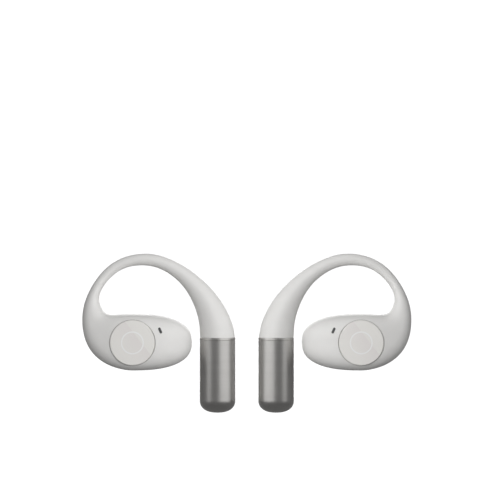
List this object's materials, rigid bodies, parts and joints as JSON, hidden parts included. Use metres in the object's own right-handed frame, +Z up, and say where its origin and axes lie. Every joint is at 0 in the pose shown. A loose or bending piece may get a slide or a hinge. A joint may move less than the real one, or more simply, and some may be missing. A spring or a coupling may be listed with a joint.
{
  "type": "open-ear hook earphones",
  "caption": "Pair of open-ear wireless earphones with springy ear hooks, a round press button on each pod and a metal battery barrel behind the ear.",
  "frame": {"origin": "halfway between the two earpieces, on their mirror plane, level with the underside of the hooks where they rest on the ears", "axes": "+Z up as worn, +X from the left earpiece in the picture to the right one, +Y toward the head, so the button faces look along -Y"},
  "size_m": [0.1042, 0.0166, 0.0505],
  "materials": {
    "shell_white": "satin soft-touch",
    "sleeve_white": "satin silicone",
    "button_pearl": "satin pearl with a faint sunburst",
    "barrel_metal": "fine satin",
    "mesh_dark": "fine mesh",
    "seal_grey": "matte",
    "frame_grey": "matte",
    "black_plastic": "matte",
    "ivory_plastic": "matte",
    "board_green": "solder mask",
    "copper": "bare",
    "steel": "brushed",
    "magnet_nickel": "nickel plated",
    "diaphragm_film": "thin film",
    "gold": "plated",
    "lead_sheath": "matte",
    "cell_wrap": "wrapped"
  },
  "bodies": {
    "left_tail": {"left_hook_sleeve_rear": "sleeve_white", "left_memory_wire": "steel", "left_hook_leads": "lead_sheath", "left_barrel_plug": "frame_grey", "left_barrel_oring": "seal_grey", "left_battery_barrel": "barrel_metal", "left_battery_cell": "cell_wrap"},
    "left_pod": {"left_outer_housing": "shell_white", "left_ear_cover": "shell_white", "left_hook_sleeve_front": "sleeve_white", "left_button_seal": "seal_grey", "left_button_frame": "frame_grey", "left_switch_body": "black_plastic", "left_main_board": "board_green", "left_board_chips": "black_plastic", "left_antenna_strip": "copper", "left_mic_capsule": "steel", "left_mic_mesh": "mesh_dark", "left_driver_frame": "frame_grey", "left_driver_yoke": "steel", "left_driver_magnet": "magnet_nickel", "left_pole_plate": "steel", "left_driver_surround": "seal_grey", "left_outlet_grille": "mesh_dark", "left_charge_pins": "gold", "left_case_magnet": "magnet_nickel"},
    "left_button": {"left_button_disc": "button_pearl", "left_switch_plunger": "ivory_plastic"},
    "left_cone": {"left_voice_coil": "copper", "left_diaphragm": "diaphragm_film"},
    "right_tail": {"right_hook_sleeve_rear": "sleeve_white", "right_memory_wire": "steel", "right_hook_leads": "lead_sheath", "right_barrel_plug": "frame_grey", "right_barrel_oring": "seal_grey", "right_battery_barrel": "barrel_metal", "right_battery_cell": "cell_wrap"},
    "right_pod": {"right_outer_housing": "shell_white", "right_ear_cover": "shell_white", "right_hook_sleeve_front": "sleeve_white", "right_button_seal": "seal_grey", "right_button_frame": "frame_grey", "right_switch_body": "black_plastic", "right_main_board": "board_green", "right_board_chips": "black_plastic", "right_antenna_strip": "copper", "right_mic_capsule": "steel", "right_mic_mesh": "mesh_dark", "right_driver_frame": "frame_grey", "right_driver_yoke": "steel", "right_driver_magnet": "magnet_nickel", "right_pole_plate": "steel", "right_driver_surround": "seal_grey", "right_outlet_grille": "mesh_dark", "right_charge_pins": "gold", "right_case_magnet": "magnet_nickel"},
    "right_button": {"right_button_disc": "button_pearl", "right_switch_plunger": "ivory_plastic"},
    "right_cone": {"right_voice_coil": "copper", "right_diaphragm": "diaphragm_film"}
  },
  "joints": [
    {"name": "left_hook_flex", "type": "hinge", "parent": "left_tail", "child": "left_pod", "pos_m": [-0.04188, 0.00095, -0.00078], "axis": [0, 1, 0], "range_deg": [-3, 18], "stiffness_Nm_per_rad": 0.2, "deforming": ["left_memory_wire", "left_hook_leads"]},
    {"name": "left_button_press", "type": "slide", "parent": "left_pod", "child": "left_button", "axis": [0, 1, 0], "range_m": [0, 0.0003], "stiffness_N_per_m": 3000, "deforming": ["left_button_seal"]},
    {"name": "left_cone_travel", "type": "slide", "parent": "left_pod", "child": "left_cone", "axis": [0, 1, 0], "range_m": [-0.0003, 0.0003], "stiffness_N_per_m": 800, "deforming": ["left_driver_surround"]},
    {"name": "pair_spacing", "type": "slide", "parent": "left_tail", "child": "right_tail", "axis": [1, 0, 0], "range_m": [-0.005, 0.08]},
    {"name": "right_hook_flex", "type": "hinge", "parent": "right_tail", "child": "right_pod", "pos_m": [0.04188, 0.00095, -0.00078], "axis": [0, -1, 0], "range_deg": [-3, 18], "stiffness_Nm_per_rad": 0.2, "deforming": ["right_memory_wire", "right_hook_leads"]},
    {"name": "right_button_press", "type": "slide", "parent": "right_pod", "child": "right_button", "axis": [0, 1, 0], "range_m": [0, 0.0003], "stiffness_N_per_m": 3000, "deforming": ["right_button_seal"]},
    {"name": "right_cone_travel", "type": "slide", "parent": "right_pod", "child": "right_cone", "axis": [0, 1, 0], "range_m": [-0.0003, 0.0003], "stiffness_N_per_m": 800, "deforming": ["right_driver_surround"]}
  ]
}
